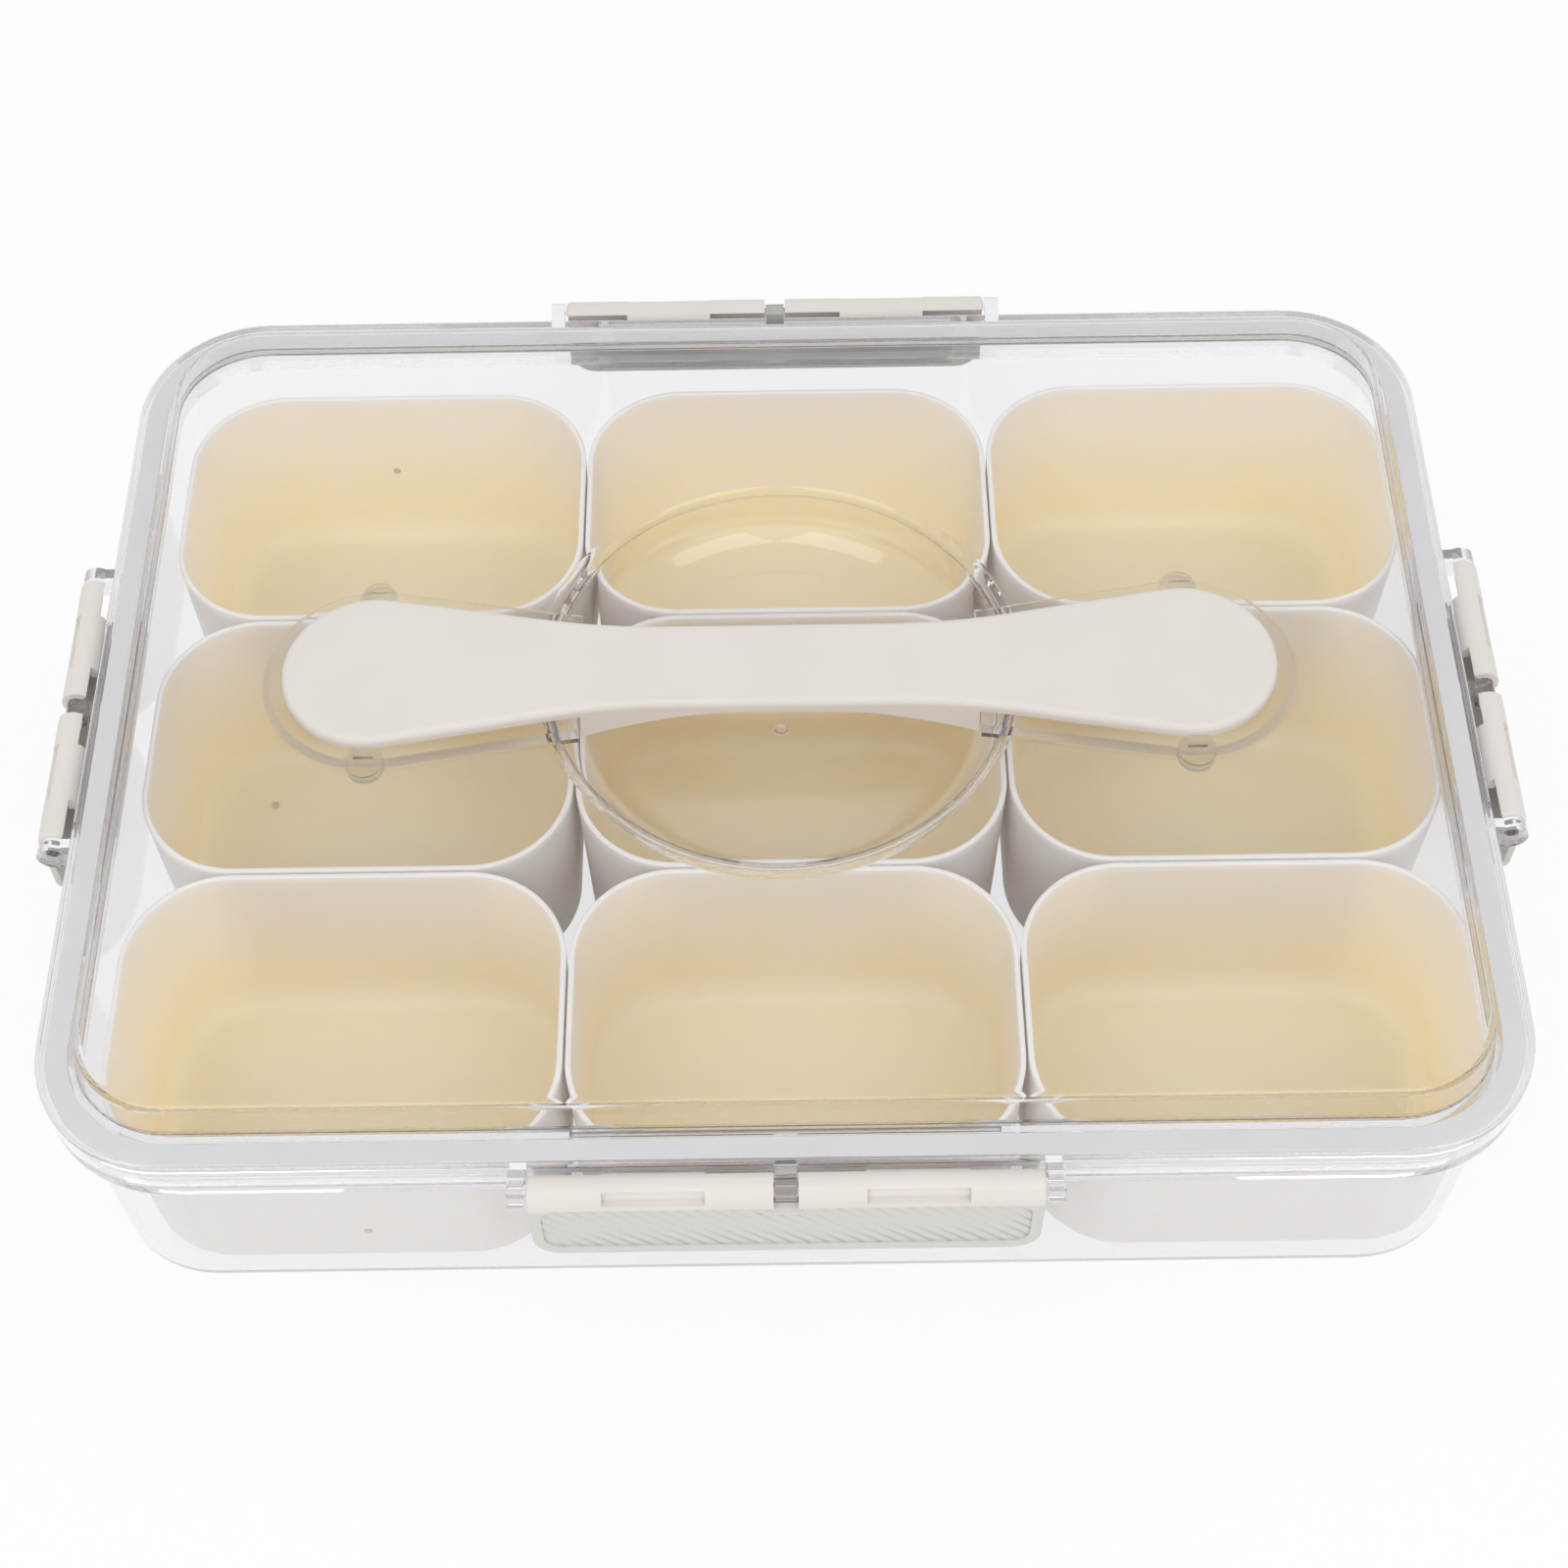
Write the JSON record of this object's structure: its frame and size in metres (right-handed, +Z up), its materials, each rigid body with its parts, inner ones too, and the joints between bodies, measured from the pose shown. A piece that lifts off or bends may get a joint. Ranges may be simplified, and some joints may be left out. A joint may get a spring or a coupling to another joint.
{
  "type": "divided snack tray with lid",
  "caption": "Rectangular clear snack tray with removable bins, a sealed lift-off lid with a recessed carry handle and snap latches on its sides.",
  "frame": {"origin": "middle of the footprint, on the surface that the tray stands on", "axes": "+X along the long side, +Y to the back, +Z up"},
  "size_m": [0.339, 0.259, 0.0796],
  "materials": {
    "clear_plastic": "clear, polished",
    "seal_silicone": "frosted silicone",
    "cream_plastic": "fine satin moulding",
    "bin_plastic": "translucent, satin"
  },
  "bodies": {
    "tray": {"tray": "clear_plastic"},
    "lid": {"lid": "clear_plastic", "lid_seal": "seal_silicone", "handle_grip": "cream_plastic"},
    "latch_front": {"latch_front": "cream_plastic"},
    "latch_back": {"latch_back": "cream_plastic"},
    "latch_left": {"latch_left": "cream_plastic"},
    "latch_right": {"latch_right": "cream_plastic"},
    "bin_front_left": {"bin_front_left": "bin_plastic"},
    "bin_front_centre": {"bin_front_centre": "bin_plastic"},
    "bin_front_right": {"bin_front_right": "bin_plastic"},
    "bin_middle_left": {"bin_middle_left": "bin_plastic"},
    "bin_middle_centre": {"bin_middle_centre": "bin_plastic"},
    "bin_middle_right": {"bin_middle_right": "bin_plastic"},
    "bin_back_left": {"bin_back_left": "bin_plastic"},
    "bin_back_centre": {"bin_back_centre": "bin_plastic"},
    "bin_back_right": {"bin_back_right": "bin_plastic"}
  },
  "joints": [
    {"name": "lid_lift", "type": "slide", "parent": "tray", "child": "lid", "axis": [0, 0, 1], "range_m": [0, 0.08]},
    {"name": "latch_front_hinge", "type": "hinge", "parent": "lid", "child": "latch_front", "pos_m": [0, -0.1257, 0.0636], "axis": [-1, 0, 0], "range_deg": [0, 176]},
    {"name": "latch_back_hinge", "type": "hinge", "parent": "lid", "child": "latch_back", "pos_m": [0, 0.1257, 0.0636], "axis": [1, 0, 0], "range_deg": [0, 176]},
    {"name": "latch_left_hinge", "type": "hinge", "parent": "lid", "child": "latch_left", "pos_m": [-0.1657, 0, 0.0636], "axis": [0, 1, 0], "range_deg": [0, 176]},
    {"name": "latch_right_hinge", "type": "hinge", "parent": "lid", "child": "latch_right", "pos_m": [0.1657, 0, 0.0636], "axis": [0, -1, 0], "range_deg": [0, 176]},
    {"name": "bin_front_left_lift", "type": "slide", "parent": "tray", "child": "bin_front_left", "axis": [0, 0, 1], "range_m": [0, 0.061]},
    {"name": "bin_front_centre_lift", "type": "slide", "parent": "tray", "child": "bin_front_centre", "axis": [0, 0, 1], "range_m": [0, 0.061]},
    {"name": "bin_front_right_lift", "type": "slide", "parent": "tray", "child": "bin_front_right", "axis": [0, 0, 1], "range_m": [0, 0.061]},
    {"name": "bin_middle_left_lift", "type": "slide", "parent": "tray", "child": "bin_middle_left", "axis": [0, 0, 1], "range_m": [0, 0.061]},
    {"name": "bin_middle_centre_lift", "type": "slide", "parent": "tray", "child": "bin_middle_centre", "axis": [0, 0, 1], "range_m": [0, 0.061]},
    {"name": "bin_middle_right_lift", "type": "slide", "parent": "tray", "child": "bin_middle_right", "axis": [0, 0, 1], "range_m": [0, 0.061]},
    {"name": "bin_back_left_lift", "type": "slide", "parent": "tray", "child": "bin_back_left", "axis": [0, 0, 1], "range_m": [0, 0.061]},
    {"name": "bin_back_centre_lift", "type": "slide", "parent": "tray", "child": "bin_back_centre", "axis": [0, 0, 1], "range_m": [0, 0.061]},
    {"name": "bin_back_right_lift", "type": "slide", "parent": "tray", "child": "bin_back_right", "axis": [0, 0, 1], "range_m": [0, 0.061]}
  ],
  "couplings": [
    {"joint": "latch_front_hinge", "follows": "lid_lift", "rad_per_m": 38.179},
    {"joint": "latch_back_hinge", "follows": "lid_lift", "rad_per_m": 38.179},
    {"joint": "latch_left_hinge", "follows": "lid_lift", "rad_per_m": 38.179},
    {"joint": "latch_right_hinge", "follows": "lid_lift", "rad_per_m": 38.179},
    {"joint": "bin_front_left_lift", "follows": "lid_lift", "ratio": 0.75},
    {"joint": "bin_front_centre_lift", "follows": "lid_lift", "ratio": 0.75},
    {"joint": "bin_front_right_lift", "follows": "lid_lift", "ratio": 0.75},
    {"joint": "bin_middle_left_lift", "follows": "lid_lift", "ratio": 0.75},
    {"joint": "bin_middle_centre_lift", "follows": "lid_lift", "ratio": 0.75},
    {"joint": "bin_middle_right_lift", "follows": "lid_lift", "ratio": 0.75},
    {"joint": "bin_back_left_lift", "follows": "lid_lift", "ratio": 0.75},
    {"joint": "bin_back_centre_lift", "follows": "lid_lift", "ratio": 0.75},
    {"joint": "bin_back_right_lift", "follows": "lid_lift", "ratio": 0.75}
  ]
}
